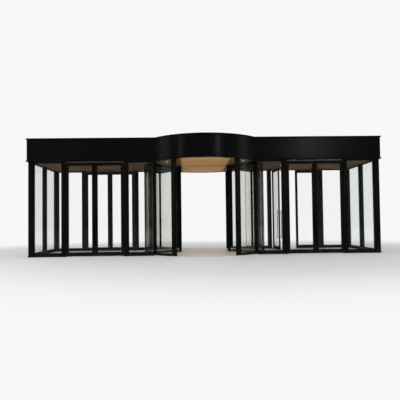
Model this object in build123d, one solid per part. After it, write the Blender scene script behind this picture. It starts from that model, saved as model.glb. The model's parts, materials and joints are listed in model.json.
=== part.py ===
from build123d import *
import os
from math import acos, asin, atan2, cos, degrees, radians, sin, sqrt, tan

os.makedirs("parts", exist_ok=True)

# A two-wing revolving door in the middle of a glazed entrance vestibule.
# Millimetres, +Z up, -Y is the street side. The origin is where the drum's
# axis meets the ground.

# Vestibule, outer faces of its posts
half_width = 6600
half_depth = 1600
clear_height = 3555
post_depth = 150
corner_post = 190
corner_bay_clear = 1030
door_post_width = 170
door_clear = 2150
side_post_width = 150
floor_thickness = 15
ceiling_thickness = 30
base_rail_height = 130
head_rail_height = 40
rail_depth = 90
glass_thickness = 16
seat_gap = 0.3

# Fascia and roof
fascia_height = 870
fascia_proud = 40
fascia_thickness = 60
lip_height = 42
lip_proud = 32
roof_thickness = 60
roof_drop = 90

# Drum, its radius on the middle of its wall
drum_radius = 2410
drum_wall = 90
drum_glass = 16
drum_rail_height = 90
drum_fascia_proud = 15
opening_clear = 2160
opening_post_width = 185
joint_post_width = 125
joint_setback = 68
mid_post_width = 90
ring_width = 75
ring_thickness = 40

# Swing leaves
leaf_thickness = 50
leaf_stile = 88
leaf_top_rail = 110
leaf_bottom_rail = 130
leaf_floor_gap = 10
leaf_post_gap = 6
leaf_meeting_gap = 10
leaf_head_gap = 8
head_strip_height = 37
pivot_offset = 22
pivot_radius = 15
pivot_height = 32
pivot_arm = 60
pivot_block = 40
pivot_sides = 8
pull_length = 1200
pull_middle = 1100
pull_width = 30
pull_depth = 20
pull_standoff = 45
pull_inset = 44
pull_foot = 20
pull_foot_inset = 100
standing_open = {"rear_right_inner": 86}

# Rotor, standing a little past the point where its wings face the street
rotor_rest = -5
rotor_gap = 15
rotor_floor_gap = 10
rotor_ceiling_rise = 10
rotor_ceiling_thickness = 80
hub_radius = 120
hub_height = 90
drive_width = 520
track_width = 150
track_height = 60
track_wall = 12
track_end_gap = 30
slot_width = 21
cavity_room = 6

# Wings: glazed cases that widen from a nose at the passage to the drum wall
wing_end_gap = 65
wing_inner_edge = 1060
wing_nose_length = 100
wing_nose_half = 120
wing_flare = 51
wing_plinth_height = 140
wing_canopy_height = 165
canopy_gap_height = 60
canopy_gap_depth = 30
wing_stile_depth = 40
corner_stile_flat = 30
corner_stile_curve = 85
end_stile_depth = 150
end_stile_half = 50
wing_glass_inset = 12
seal_gap = 10
seal_thickness = 10
seal_inset = 30

# Sliding leaves, housed in the slot between a wing's two halves
slide_open_edge = 950
slide_thickness = 44
slide_room = 10
slide_end_room = 15
slide_stile = 100
slide_meeting_gap = 10
slide_top_gap = 8
hanger_width = 10
hanger_head = 36
hanger_head_height = 18
hanger_length = 90
hanger_inset = 130
hanger_bite = 5

# Worked out
fascia_top = clear_height + fascia_height
fascia_inner_x = half_width + fascia_proud - fascia_thickness
fascia_inner_y = half_depth + fascia_proud - fascia_thickness
drum_inner = drum_radius - drum_wall / 2
drum_outer = drum_radius + drum_wall / 2
fascia_radius = drum_outer + drum_fascia_proud
opening_angle = degrees(asin(opening_clear / 2 / drum_radius))
opening_post_end = opening_angle + degrees(opening_post_width / drum_radius)
mid_post_half = degrees(mid_post_width / 2 / drum_radius)
wall_middle = half_depth - post_depth / 2
joint_angle = degrees(acos((wall_middle - joint_setback) / drum_radius))
joint_half = degrees(joint_post_width / 2 / drum_radius)
front_face = -half_depth
rear_face = half_depth - post_depth
wing_radius = drum_inner - wing_end_gap
wing_bend = wing_inner_edge + wing_nose_length
wing_slot_half = slide_thickness / 2 + slide_room
wing_slot_end = wing_radius - end_stile_depth
slide_far_edge = wing_slot_end - slide_end_room


def block(x0, x1, y0, y1, z0, z1):
    size = (abs(x1 - x0), abs(y1 - y0), z1 - z0)
    return Pos(min(x0, x1), min(y0, y1), z0) * Box(*size, align=(Align.MIN,) * 3)


def disc(radius, z0, z1):
    base = (Align.CENTER, Align.CENTER, Align.MIN)
    return Pos(0, 0, z0) * Cylinder(radius, z1 - z0, align=base)


def on_circle(radius, angle):
    # The angle is measured from the street side towards +X
    return (radius * sin(radians(angle)), -radius * cos(radians(angle)))


def arc_bar(inner, outer, start, end, z0, z1):
    middle = (start + end) / 2
    outline = [
        ThreePointArc(*(on_circle(outer, a) for a in (start, middle, end))),
        Line(on_circle(outer, end), on_circle(inner, end)),
        ThreePointArc(*(on_circle(inner, a) for a in (end, middle, start))),
        Line(on_circle(inner, start), on_circle(outer, start)),
    ]
    return Pos(0, 0, z0) * extrude(make_face(Curve() + outline), z1 - z0, dir=(0, 0, 1))


def save(node, *shapes):
    solids = [solid for shape in shapes for solid in shape.solids()]
    whole = solids[0] if len(solids) == 1 else Compound(solids)
    export_step(whole, f"parts/{node}.step")


def four_quadrants(start, end):
    return [(start, end), (-end, -start), (180 - end, 180 - start), (180 + start, 180 + end)]


# Bays of a long wall, from the corner to the drum, as distances from the middle
corner_inner = half_width - corner_post
outer_post_far = corner_inner - corner_bay_clear
outer_post = (outer_post_far - door_post_width, outer_post_far)
inner_post_far = outer_post[0] - door_clear
inner_post = (inner_post_far - door_post_width, inner_post_far)
drum_edge = sqrt(drum_outer ** 2 - (wall_middle - rail_depth / 2) ** 2)
drum_glass_outer = drum_radius + drum_glass / 2
corner_bay = (outer_post[1], corner_inner)
drum_bay = (drum_edge + seat_gap, inner_post[0])
walls = [("front", front_face), ("rear", rear_face)]


def make_posts():
    corners = []
    for x in (-half_width, half_width - corner_post):
        for y in (-half_depth, half_depth - corner_post):
            corners.append(block(x, x + corner_post, y, y + corner_post, 0, clear_height))
    save("corner_posts", *corners)
    every = corners
    for name, face in walls:
        posts = []
        for side in (-1, 1):
            for near, far in (outer_post, inner_post):
                posts.append(block(side * near, side * far, face, face + post_depth, 0, clear_height))
        save(f"{name}_door_posts", *posts)
        every = every + posts
    sides = []
    for side in (-1, 1):
        outer = side * half_width
        inner = side * (half_width - post_depth)
        sides.append(block(outer, inner, -side_post_width / 2, side_post_width / 2, 0, clear_height))
    save("side_posts", *sides)
    return every + sides


def wall_pieces(z0, z1, depth, meets_glass=True):
    # One piece in each fixed bay of both long walls and both end walls.
    # The rear wall has no post at the drum, so its glass runs on to the curved glass.
    pieces = {"front": [], "rear": [], "side": []}
    for name, face in walls:
        middle = face + post_depth / 2
        ends = (middle - depth / 2, middle + depth / 2)
        for side in (-1, 1):
            pieces[name].append(block(side * corner_bay[0], side * corner_bay[1], *ends, z0, z1))
            if meets_glass and face > 0:
                long = block(side * drum_radius / 2, side * drum_bay[1], *ends, z0, z1)
                pieces[name].append(long - disc(drum_glass_outer + seat_gap, z0, z1))
            else:
                pieces[name].append(block(side * drum_bay[0], side * drum_bay[1], *ends, z0, z1))
    middle = half_width - post_depth / 2
    ends = (side_post_width / 2, half_depth - corner_post)
    for side in (-1, 1):
        for way in (-1, 1):
            pieces["side"].append(block(
                side * (middle - depth / 2), side * (middle + depth / 2),
                way * ends[0], way * ends[1], z0, z1))
    return pieces


def make_walls():
    base = wall_pieces(0, base_rail_height, rail_depth, meets_glass=False)
    head = wall_pieces(clear_height - head_rail_height, clear_height, rail_depth)
    panes = wall_pieces(base_rail_height, clear_height - head_rail_height, glass_thickness)
    save("base_rails", *base["front"], *base["rear"], *base["side"])
    save("head_rails", *head["front"], *head["rear"], *head["side"])
    for name in panes:
        save(f"{name}_glazing", *panes[name])
    strips = []
    for name, face in walls:
        for side in (-1, 1):
            strips.append(block(
                side * inner_post[1], side * outer_post[0], face, face + post_depth,
                clear_height - head_strip_height, clear_height))
    save("door_head_strips", *strips)


def make_floor_and_ceiling(posts):
    save("drum_floor", disc(drum_outer, 0, floor_thickness))
    floors = []
    ceilings = []
    rail_inner_x = half_width - post_depth / 2 - rail_depth / 2
    rail_inner_y = wall_middle - rail_depth / 2
    for side in (-1, 1):
        start = side * drum_inner / 2
        inside = block(start, side * rail_inner_x, -rail_inner_y, rail_inner_y, 0, floor_thickness)
        inside += block(side * inner_post[1], side * outer_post[0], -half_depth, half_depth,
                        0, floor_thickness)
        inside -= disc(drum_outer + seat_gap, 0, floor_thickness)
        for post in posts:
            inside -= post
        floors.append(inside)
        top = clear_height + ceiling_thickness
        panel = block(start, side * fascia_inner_x, -fascia_inner_y, fascia_inner_y, clear_height, top)
        ceilings.append(panel - disc(fascia_radius - fascia_thickness, clear_height, top))
    save("vestibule_floors", *floors)
    save("vestibule_ceilings", *ceilings)


def plan(reach_x, reach_y, radius, z0, z1):
    return block(-reach_x, reach_x, -reach_y, reach_y, z0, z1) + disc(radius, z0, z1)


def make_fascia():
    face_x = half_width + fascia_proud
    face_y = half_depth + fascia_proud
    inner_radius = fascia_radius - fascia_thickness
    shell = plan(face_x, face_y, fascia_radius, clear_height, fascia_top)
    for z in (clear_height, fascia_top - lip_height):
        shell += plan(face_x + lip_proud, face_y + lip_proud, fascia_radius + lip_proud, z, z + lip_height)
    shell -= plan(fascia_inner_x, fascia_inner_y, inner_radius, clear_height, fascia_top)
    seam = sqrt((fascia_radius + lip_proud) ** 2 - face_y ** 2)
    far = 2 * half_width
    for name, way in (("front", -1), ("rear", 1)):
        strip = block(-far, far, way * fascia_inner_y, way * far, clear_height, fascia_top)
        middle = block(-seam, seam, 0, way * far, clear_height, fascia_top)
        save(f"{name}_fascia", shell & (strip - middle))
        save(f"{name}_drum_fascia", shell & middle)
    ends = block(-far, far, -fascia_inner_y, fascia_inner_y, clear_height, fascia_top)
    save("side_fascia", shell & (ends - block(-seam, seam, -far, far, clear_height, fascia_top)))
    deck_top = fascia_top - roof_drop
    deck = plan(fascia_inner_x, fascia_inner_y, inner_radius - seat_gap, deck_top - roof_thickness, deck_top)
    save("roof_deck", deck)
    return deck_top - roof_thickness


def make_drum():
    low = floor_thickness
    opening = [arc_bar(drum_inner, drum_outer, *span, low, clear_height)
               for span in four_quadrants(opening_angle, opening_post_end)]
    save("drum_opening_posts", *opening)
    others = [arc_bar(drum_inner, drum_outer, angle - joint_half, angle + joint_half, low, clear_height)
              for angle in (-joint_angle, joint_angle)]
    for middle in (90, 270):
        others.append(arc_bar(drum_inner, drum_outer, middle - mid_post_half, middle + mid_post_half,
                              low, clear_height))
    save("drum_wall_posts", *others)
    spans = []
    for near, far in ((opening_post_end, joint_angle - joint_half),
                      (joint_angle + joint_half, 90 - mid_post_half),
                      (90 + mid_post_half, 180 - opening_post_end)):
        spans += [(near, far), (-far, -near)]
    rails = [arc_bar(drum_inner, drum_outer, *span, low, drum_rail_height) for span in spans]
    save("drum_base_rails", *rails)
    glass_inner = drum_radius - drum_glass / 2
    panes = {-1: [], 1: []}
    for span in spans:
        side = 1 if sum(span) > 0 else -1
        panes[side].append(arc_bar(glass_inner, glass_inner + drum_glass, *span,
                                   drum_rail_height, clear_height))
    save("drum_glass_left", *panes[-1])
    save("drum_glass_right", *panes[1])
    ring_outer = fascia_radius - fascia_thickness - seat_gap
    ring = disc(ring_outer, clear_height, clear_height + ring_thickness)
    save("drum_head_ring", ring - disc(ring_outer - ring_width, clear_height, clear_height + ring_thickness))
    return ring_outer - ring_width


def make_leaf(name, face, side, way, rest_angle):
    # side: which half of the vestibule; way: +1 hinges on the post nearer the drum
    post = side * (inner_post[1] if way > 0 else outer_post[0])
    into = side * way
    width = (door_clear - 2 * leaf_post_gap - leaf_meeting_gap) / 2
    heel = post + into * leaf_post_gap
    toe = heel + into * width
    low = floor_thickness + leaf_floor_gap
    high = clear_height - head_strip_height - leaf_head_gap
    back = face + leaf_thickness
    frame = block(heel, toe, face, back, low, high)
    frame -= block(heel + into * leaf_stile, toe - into * leaf_stile, face, back,
                   low + leaf_bottom_rail, high - leaf_top_rail)
    axis_x = post + into * leaf_post_gap / 2
    axis_y = face - pivot_offset
    knuckle = RegularPolygon(pivot_radius, pivot_sides, major_radius=False)
    for z in (low, high - pivot_height):
        arm = block(axis_x, axis_x + into * pivot_arm, axis_y - pivot_radius, face, z, z + pivot_height)
        frame += arm + extrude(Pos(axis_x, axis_y, z) * knuckle, pivot_height)
    glass_y = (face + back) / 2
    pane = block(heel + into * leaf_stile, toe - into * leaf_stile,
                 glass_y - glass_thickness / 2, glass_y + glass_thickness / 2,
                 low + leaf_bottom_rail, high - leaf_top_rail)
    pull_x = toe - into * pull_inset
    for front, out in ((face, -1), (back, 1)):
        y = front + out * pull_standoff
        frame += block(pull_x - pull_width / 2, pull_x + pull_width / 2, y, y + out * pull_depth,
                       pull_middle - pull_length / 2, pull_middle + pull_length / 2)
        foot = pull_foot / 2
        for up in (-1, 1):
            z = pull_middle + up * (pull_length / 2 - pull_foot_inset)
            frame += block(pull_x - foot, pull_x + foot, front, y, z - foot, z + foot)
    turn = Pos(axis_x, axis_y, 0) * Rot(0, 0, -into * rest_angle) * Pos(-axis_x, -axis_y, 0)
    save(f"{name}_leaf", turn * frame)
    save(f"{name}_pane", turn * pane)
    ground = 0 if face < 0 else floor_thickness
    lower = block(axis_x - into * pivot_block, axis_x + into * pivot_radius, axis_y - pivot_radius, face,
                  ground, low - seat_gap)
    upper = block(axis_x - into * pivot_block, axis_x + into * pivot_radius, axis_y - pivot_radius, face,
                  high + seat_gap, clear_height)
    return [lower, upper]


def make_swing_leaves():
    pivots = []
    for wall, face in walls:
        for side_name, side in (("left", -1), ("right", 1)):
            for place, way in (("outer", -1), ("inner", 1)):
                name = f"{wall}_{side_name}_{place}"
                pivots += make_leaf(name, face, side, way, standing_open.get(name, 0))
    save("pivot_blocks", *pivots)


def save_turned(node, *shapes):
    save(node, *[Rot(0, 0, rotor_rest) * shape for shape in shapes])


def make_rotor(ring_inner, roof_underside):
    low = floor_thickness + rotor_floor_gap
    ceiling_low = clear_height + rotor_ceiling_rise
    ceiling_high = ceiling_low + rotor_ceiling_thickness
    radius = ring_inner - rotor_gap
    reach = radius - track_end_gap
    track = block(-reach, reach, -track_width / 2, track_width / 2, ceiling_low, ceiling_low + track_height)
    hub = disc(hub_radius, ceiling_high, ceiling_high + hub_height)
    save_turned("rotor_ceiling", disc(radius, ceiling_low, ceiling_high) - track + hub)
    half = drive_width / 2
    save("drive_unit", block(-half, half, -half, half, ceiling_high + hub_height + seat_gap, roof_underside))
    cavity = hanger_head / 2 + cavity_room
    track -= block(-reach, reach, -cavity, cavity,
                   ceiling_low + track_wall, ceiling_low + track_height - track_wall)
    track -= block(-reach, reach, -slot_width / 2, slot_width / 2, ceiling_low, ceiling_low + track_wall)
    save_turned("rotor_track", track)
    make_wings(low, ceiling_low)
    make_sliding_leaves(low, ceiling_low)


def wing_corner(inset):
    # Where a flared face, moved in by inset, meets the curved end
    slope = tan(radians(wing_flare))
    radius = wing_radius - inset
    bend_x = wing_bend + inset * tan(radians(wing_flare / 2))
    start = wing_nose_half - inset - slope * bend_x
    x = (sqrt(radius ** 2 * (1 + slope ** 2) - start ** 2) - start * slope) / (1 + slope ** 2)
    return bend_x, x, start + slope * x


def wing_body(inset, z0, z1):
    # The whole plan of the wing on the +X side, moved in by inset on its long faces and its end
    bend_x, corner_x, corner_y = wing_corner(inset)
    nose_y = wing_nose_half - inset
    outline = [
        Line((wing_inner_edge, nose_y), (wing_inner_edge, -nose_y)),
        Line((wing_inner_edge, -nose_y), (bend_x, -nose_y)),
        Line((bend_x, -nose_y), (corner_x, -corner_y)),
        ThreePointArc((corner_x, -corner_y), (wing_radius - inset, 0), (corner_x, corner_y)),
        Line((corner_x, corner_y), (bend_x, nose_y)),
        Line((bend_x, nose_y), (wing_inner_edge, nose_y)),
    ]
    return Pos(0, 0, z0) * extrude(make_face(Curve() + outline), z1 - z0, dir=(0, 0, 1))


def both_wings(shapes):
    return list(shapes) + [Rot(0, 0, 180) * shape for shape in shapes]


def wing_halves(inset, z0, z1):
    # The two flared boxes on either side of the leaf's slot
    body = wing_body(inset, z0, z1)
    return [body & block(wing_bend + inset, wing_radius, way * wing_slot_half, way * wing_radius, z0, z1)
            for way in (-1, 1)]


def wing_ends(z0, z1):
    # Two nose blocks and the block that joins the halves behind the slot
    ends = [block(wing_inner_edge, wing_bend, way * wing_slot_half, way * wing_nose_half, z0, z1)
            for way in (-1, 1)]
    back = block(wing_slot_end, wing_radius, -wing_slot_half, wing_slot_half, z0, z1)
    return ends + [wing_body(0, z0, z1) & back]


def make_wings(low, high):
    sill = low + wing_plinth_height
    head = high - wing_canopy_height
    gap_low = high - canopy_gap_height
    plinth = wing_halves(0, low, sill) + wing_ends(low, sill)
    save_turned("rotor_plinths", *both_wings(plinth))
    canopy = wing_halves(0, head, gap_low) + wing_halves(canopy_gap_depth, gap_low, high)
    save_turned("rotor_canopies", *both_wings(canopy + wing_ends(head, high)))
    whole = wing_body(0, sill, head)
    rim = whole - wing_body(wing_stile_depth, sill, head)
    sheet = wing_body(wing_glass_inset, sill, head)
    sheet -= wing_body(wing_glass_inset + glass_thickness, sill, head)
    corner_x, corner_y = wing_corner(0)[1:]
    flat_end = corner_x - corner_stile_flat
    curve_end = corner_y - corner_stile_curve
    stiles = [whole & block(wing_slot_end, wing_radius, -end_stile_half, end_stile_half, sill, head)]
    flats = []
    curves = []
    for way in (-1, 1):
        stiles.append(block(wing_inner_edge, wing_bend, way * wing_slot_half, way * wing_nose_half,
                            sill, head))
        stiles.append(rim & block(flat_end, wing_radius, way * curve_end, way * wing_radius, sill, head))
        flats.append(sheet & block(wing_bend, flat_end, 0, way * wing_radius, sill, head))
        curves.append(sheet & block(flat_end, wing_radius, way * end_stile_half, way * curve_end,
                                    sill, head))
    save_turned("rotor_stiles", *both_wings(stiles))
    save_turned("rotor_flat_glass", *both_wings(flats))
    save_turned("rotor_curved_glass", *both_wings(curves))
    bead = degrees(seal_thickness / 2 / wing_radius)
    lean = degrees(atan2(corner_y, corner_x)) - degrees(seal_inset / wing_radius)
    top = clear_height - seal_gap
    seals = [arc_bar(wing_radius, drum_inner - seal_gap, angle - bead, angle + bead, low, top)
             for angle in (90 - lean, 90 + lean)]
    save_turned("rotor_seals", *both_wings(seals))


def make_sliding_leaves(low, track_low):
    high = track_low - slide_top_gap
    lip = track_low + track_wall
    for name, side in (("left", -1), ("right", 1)):
        near = side * slide_open_edge
        far = side * slide_far_edge
        hole = (near + side * slide_stile, far - side * slide_stile)
        sill = low + wing_plinth_height
        head = track_low - wing_canopy_height
        frame = block(near, far, -slide_thickness / 2, slide_thickness / 2, low, high)
        frame -= block(*hole, -slide_thickness / 2, slide_thickness / 2, sill, head)
        for x in (near + side * hanger_inset, far - side * hanger_inset):
            ends = (x - hanger_length / 2, x + hanger_length / 2)
            frame += block(*ends, -hanger_width / 2, hanger_width / 2, high, lip + hanger_bite)
            frame += block(*ends, -hanger_head / 2, hanger_head / 2,
                           lip + seat_gap, lip + seat_gap + hanger_head_height)
        save_turned(f"sliding_leaf_{name}", frame)
        save_turned(f"sliding_pane_{name}",
                    block(*hole, -glass_thickness / 2, glass_thickness / 2, sill, head))


all_posts = make_posts()
make_walls()
make_floor_and_ceiling(all_posts)
underside = make_fascia()
ring_opening = make_drum()
make_swing_leaves()
make_rotor(ring_opening, underside)
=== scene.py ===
import json
import math

import bmesh
import bpy
from mathutils import Matrix, Vector


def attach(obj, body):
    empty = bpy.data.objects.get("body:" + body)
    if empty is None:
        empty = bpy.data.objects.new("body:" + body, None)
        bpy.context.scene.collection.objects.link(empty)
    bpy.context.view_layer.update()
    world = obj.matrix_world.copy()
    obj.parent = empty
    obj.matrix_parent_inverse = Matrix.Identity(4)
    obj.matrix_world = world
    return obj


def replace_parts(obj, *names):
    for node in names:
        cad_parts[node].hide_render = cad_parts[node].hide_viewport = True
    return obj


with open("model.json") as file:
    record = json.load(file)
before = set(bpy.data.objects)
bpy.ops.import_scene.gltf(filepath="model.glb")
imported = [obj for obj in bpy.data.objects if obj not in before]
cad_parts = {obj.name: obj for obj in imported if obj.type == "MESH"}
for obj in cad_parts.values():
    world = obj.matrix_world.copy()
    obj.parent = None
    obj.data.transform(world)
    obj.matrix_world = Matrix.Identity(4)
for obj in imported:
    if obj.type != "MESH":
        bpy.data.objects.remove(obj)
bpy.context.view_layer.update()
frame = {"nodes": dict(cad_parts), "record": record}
scene = bpy.context.scene
scene.view_settings.view_transform = "Standard"
scene.cycles.transparent_max_bounces = 40  # a line of sight crosses up to a dozen panes
print("frame loaded:", len(frame["nodes"]), "nodes")

# Main sizes of the door, in metres, +Z up and -Y the street side
door = {
    "clearHeight": 3.555,
    "faceX": 6.64,
    "faceY": 1.64,
    "top": 4.425,
    "wallMiddle": 1.525,
    "endMiddle": 6.525,
    "glassHalf": 0.008,
    "outerPost": (5.21, 5.38),
    "innerPost": (2.89, 3.06),
    "drumRadius": 2.41,
    "fasciaRadius": 2.47,
    "seamX": 1.8896,
    "lipHeight": 0.042,
    "floor": 0.015,
    "rotorCeiling": 3.565,
    "roofTop": 4.335,
}
bodyOf = {}
for bodyName, bodyNodes in frame["record"]["behaviour"]["bodies"].items():
    for nodeName in bodyNodes:
        bodyOf[nodeName] = bodyName


class Socket:
    # One output of a node. Arithmetic on it adds Math nodes.
    def __init__(self, kit, socket):
        self.kit = kit
        self.socket = socket

    def maths(self, operation, *values):
        return self.kit.node("ShaderNodeMath", {"operation": operation}, dict(enumerate(values)))

    def __add__(self, other):
        return self.maths("ADD", self, other)

    def __radd__(self, other):
        return self.maths("ADD", other, self)

    def __sub__(self, other):
        return self.maths("SUBTRACT", self, other)

    def __rsub__(self, other):
        return self.maths("SUBTRACT", other, self)

    def __mul__(self, other):
        return self.maths("MULTIPLY", self, other)

    def __rmul__(self, other):
        return self.maths("MULTIPLY", other, self)

    def __truediv__(self, other):
        return self.maths("DIVIDE", self, other)

    def __pow__(self, other):
        return self.maths("POWER", self, other)

    def part(self):
        return self.maths("FRACT", self)

    def least(self, other):
        return self.maths("MINIMUM", self, other)

    def most(self, other):
        return self.maths("MAXIMUM", self, other)

    def fade(self, start, end):
        # 0 before start and 1 after end, with a soft step between
        limits = {"Value": self, "From Min": start, "From Max": end, "To Min": 0.0, "To Max": 1.0}
        return self.kit.node("ShaderNodeMapRange", {"interpolation_type": "SMOOTHSTEP"}, limits)


class Kit:
    # The nodes of one material
    def __init__(self, tree):
        self.tree = tree
        self.tree.nodes.clear()

    def feed(self, socket, value):
        if isinstance(value, Socket):
            self.tree.links.new(value.socket, socket)
        else:
            socket.default_value = value

    def node(self, kind, settings=None, inputs=None, out=0):
        made = self.tree.nodes.new(kind)
        for key, value in (settings or {}).items():
            setattr(made, key, value)
        for key, value in (inputs or {}).items():
            self.feed(made.inputs[key], value)
        return Socket(self, made.outputs[out]) if made.outputs else made

    def place(self, scale=None):
        coords = self.node("ShaderNodeTexCoord", out="Object")
        if scale is None:
            return coords
        return self.node("ShaderNodeMapping", None, {"Vector": coords, "Scale": scale})

    def split(self, vector):
        node = self.node("ShaderNodeSeparateXYZ", None, {0: vector}).socket.node
        return [Socket(self, node.outputs[i]) for i in range(3)]

    def noise(self, vector, scale, detail=3.0, rough=0.5):
        return self.node("ShaderNodeTexNoise", None,
                         {"Vector": vector, "Scale": scale, "Detail": detail, "Roughness": rough})

    def mix(self, factor, first, second):
        return self.node("ShaderNodeMix", {"data_type": "RGBA"}, {0: factor, 6: first, 7: second}, out=2)

    def blend(self, factor, first, second):
        return self.node("ShaderNodeMixShader", None, {0: factor, 1: first, 2: second})

    def bump(self, height, distance, strength=1.0):
        return self.node("ShaderNodeBump", None,
                         {"Height": height, "Distance": distance, "Strength": strength})

    def principled(self, colour, roughness, extra=None):
        inputs = {"Base Color": colour, "Roughness": roughness}
        inputs.update(extra or {})
        return self.node("ShaderNodeBsdfPrincipled", None, inputs)


def rgb(red, green, blue):
    return (red, green, blue, 1.0)


def newFinish(name):
    material = bpy.data.materials.new(name)
    material.use_nodes = True
    return material, Kit(material.node_tree)


def show(material, kit, shader):
    kit.node("ShaderNodeOutputMaterial", None, {"Surface": shader})
    return material


# Powder coat: fine orange peel, wiped sheen, a little dust near the ground
coat = {
    "black": rgb(0.0013, 0.0013, 0.0016),
    "blackWarm": rgb(0.0026, 0.0023, 0.0021),
    "dust": rgb(0.030, 0.027, 0.024),
    "grey": rgb(0.052, 0.052, 0.054),
    "greyWarm": rgb(0.070, 0.068, 0.065),
    "graphite": rgb(0.0125, 0.0100, 0.0078),
    "graphiteWarm": rgb(0.0190, 0.0150, 0.0110),
    "shine": 0.055,
}


def powderCoat(name, first, second, roughness, dustHeight, dustShare, cloudScale=0.6,
               shine=coat["shine"]):
    material, kit = newFinish(name)
    place = kit.place()
    x, y, z = kit.split(place)
    cloud = kit.noise(place, cloudScale, 4.0)
    smear = kit.noise(kit.place((9.0, 9.0, 0.7)), 1.0, 3.0)
    peel = kit.noise(place, 420.0, 2.0)
    dust = (1.0 - z.fade(0.0, dustHeight)) * smear.fade(0.3, 0.75)
    wipe = kit.noise(kit.place((2.0, 2.0, 11.0)), 1.3, 4.0)
    colour = kit.mix(cloud.fade(0.35, 0.7), first, second)
    colour = kit.mix(dust * dustShare, colour, coat["dust"])
    rough = roughness + (cloud - 0.5) * 0.10 + (wipe - 0.5) * 0.08 + dust * 0.25
    normal = kit.bump(peel, 0.00035, 0.5)
    return show(material, kit, kit.principled(colour, rough,
                                              {"Normal": normal, "Specular IOR Level": shine}))


def clearGlass(name, tint, mirror, rest, film, grazing, deep, deepShare):
    # A pane lets light straight through; seen flatter, it mirrors more and its own tone gets deeper
    material, kit = newFinish(name)
    x, y, z = kit.split(kit.place())
    facing = kit.node("ShaderNodeLayerWeight", None, {"Blend": 0.5}, out="Facing")
    wash = kit.noise(kit.place((1.6, 1.6, 0.35)), 1.5, 4.0)
    drip = kit.noise(kit.place((9.0, 9.0, 0.5)), 1.0, 2.0)
    haze = wash.fade(0.45, 0.85) * 0.5 + drip.fade(0.5, 0.9) * 0.2
    haze = haze * (0.5 + (1.0 - z.fade(0.1, 0.8)) * 1.2)
    share = facing ** 5.0 * grazing + rest + haze * film
    shine = kit.principled(mirror, 0.02 + haze * 0.05, {"Metallic": 1.0})
    clear = kit.node("ShaderNodeBsdfTransparent", None, {"Color": tint})
    edge = kit.node("ShaderNodeBsdfTransparent", None, {"Color": deep})
    through = kit.blend(facing ** 2.5 * deepShare, clear, edge)
    return show(material, kit, kit.blend(share, through, shine))


# Painted shade: the drum's ceiling is painted darker beyond these distances from its middle, towards the
# wings
wingShade = (0.84, 0.97)  # the drum's ceiling gets darker between these distances from its middle


def ceilingPaint(name, base, second, side=None):
    material, kit = newFinish(name)
    place = kit.place()
    cloud = kit.noise(place, 0.9, 4.0)
    roller = kit.noise(kit.place((60.0, 14.0, 30.0)), 1.0, 3.0)
    colour = kit.mix(cloud.fade(0.3, 0.75), base, second)
    # The side colour is painted shade, mixed in towards the ceiling's sides
    if side:
        x, y, z = kit.split(place)
        colour = kit.mix(((x * x) ** 0.5).fade(*wingShade), colour, side)
    normal = kit.bump(roller, 0.0006, 0.4)
    return show(material, kit, kit.principled(colour, 0.78 + (cloud - 0.5) * 0.12,
                                              {"Normal": normal, "Specular IOR Level": 0.06}))


def honedStone(name, base, vein, joint, slab):
    material, kit = newFinish(name)
    place = kit.place()
    x, y, z = kit.split(place)
    across = (x / slab).part()
    along = (y / slab).part()
    edge = across.least(1.0 - across).least(along.least(1.0 - along))
    seam = 1.0 - edge.fade(0.002, 0.005)
    speck = kit.noise(place, 210.0, 3.0)
    cloud = kit.noise(place, 2.2, 6.0, 0.6)
    colour = kit.mix(cloud.fade(0.35, 0.7), base, vein)
    colour = kit.mix(speck.fade(0.58, 0.72) * 0.3, colour, joint)
    colour = kit.mix(seam * 0.7, colour, joint)
    rough = 0.34 + kit.noise(place, 0.8, 3.0) * 0.2 + seam * 0.3
    normal = kit.bump(speck * 0.25 - seam, 0.001, 0.6)
    return show(material, kit, kit.principled(colour, rough, {"Normal": normal}))


def brushedMetal(name, colour, second, roughness, stretch):
    material, kit = newFinish(name)
    lines = kit.noise(kit.place(stretch), 1.0, 3.0)
    cloud = kit.noise(kit.place(), 1.8, 4.0)
    mixed = kit.mix(cloud.fade(0.3, 0.7), colour, second)
    normal = kit.bump(lines, 0.0002, 0.45)
    rough = roughness + (lines - 0.5) * 0.2 + (cloud - 0.5) * 0.1
    return show(material, kit, kit.principled(mixed, rough, {"Metallic": 1.0, "Normal": normal}))


def softBlack(name, first, second, grainScale, depth, roughness):
    # Rubber strips and brush seals
    material, kit = newFinish(name)
    grain = kit.noise(kit.place(), grainScale, 2.0)
    cloud = kit.noise(kit.place((30.0, 30.0, 90.0)), 0.3, 3.0)
    colour = kit.mix(grain.fade(0.35, 0.7), first, second)
    normal = kit.bump(grain + cloud * 0.5, depth, 0.8)
    return show(material, kit, kit.principled(colour, roughness + (cloud - 0.5) * 0.2,
                                              {"Normal": normal, "Specular IOR Level": 0.2}))


def roofSheet(name, sheetWidth, lapWidth, firstEdge):
    # Sheets laid across the roof, each a shade apart, with a dark line along both edges of a lap
    material, kit = newFinish(name)
    place = kit.place()
    x, y, z = kit.split(place)
    across = (x - firstEdge) / sheetWidth
    within = across.part() * sheetWidth
    line = (1.0 - within.fade(0.004, 0.012)) + (1.0 - ((within - lapWidth) ** 2.0).fade(0.00002, 0.0001))
    shade = kit.noise(kit.node("ShaderNodeCombineXYZ", None, {"X": across - across.part()}), 3.7, 0.0)
    grit = kit.noise(place, 260.0, 3.0)
    pond = kit.noise(place, 0.7, 5.0)
    grime = kit.noise(place, 4.0, 5.0, 0.65)
    colour = kit.mix(pond.fade(0.3, 0.75) * 0.6 + shade.fade(0.3, 0.7) * 0.4, rgb(0.22, 0.225, 0.23),
                     rgb(0.29, 0.285, 0.275))
    colour = kit.mix(grime.fade(0.55, 0.8) * 0.3, colour, rgb(0.13, 0.125, 0.115))
    colour = kit.mix(line * 0.6, colour, rgb(0.07, 0.07, 0.07))
    normal = kit.bump(grit * 0.6 + grime * 0.4 - line * 2.0, 0.001, 0.7)
    return show(material, kit, kit.principled(colour, 0.82 + (pond - 0.5) * 0.2, {"Normal": normal}))


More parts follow.
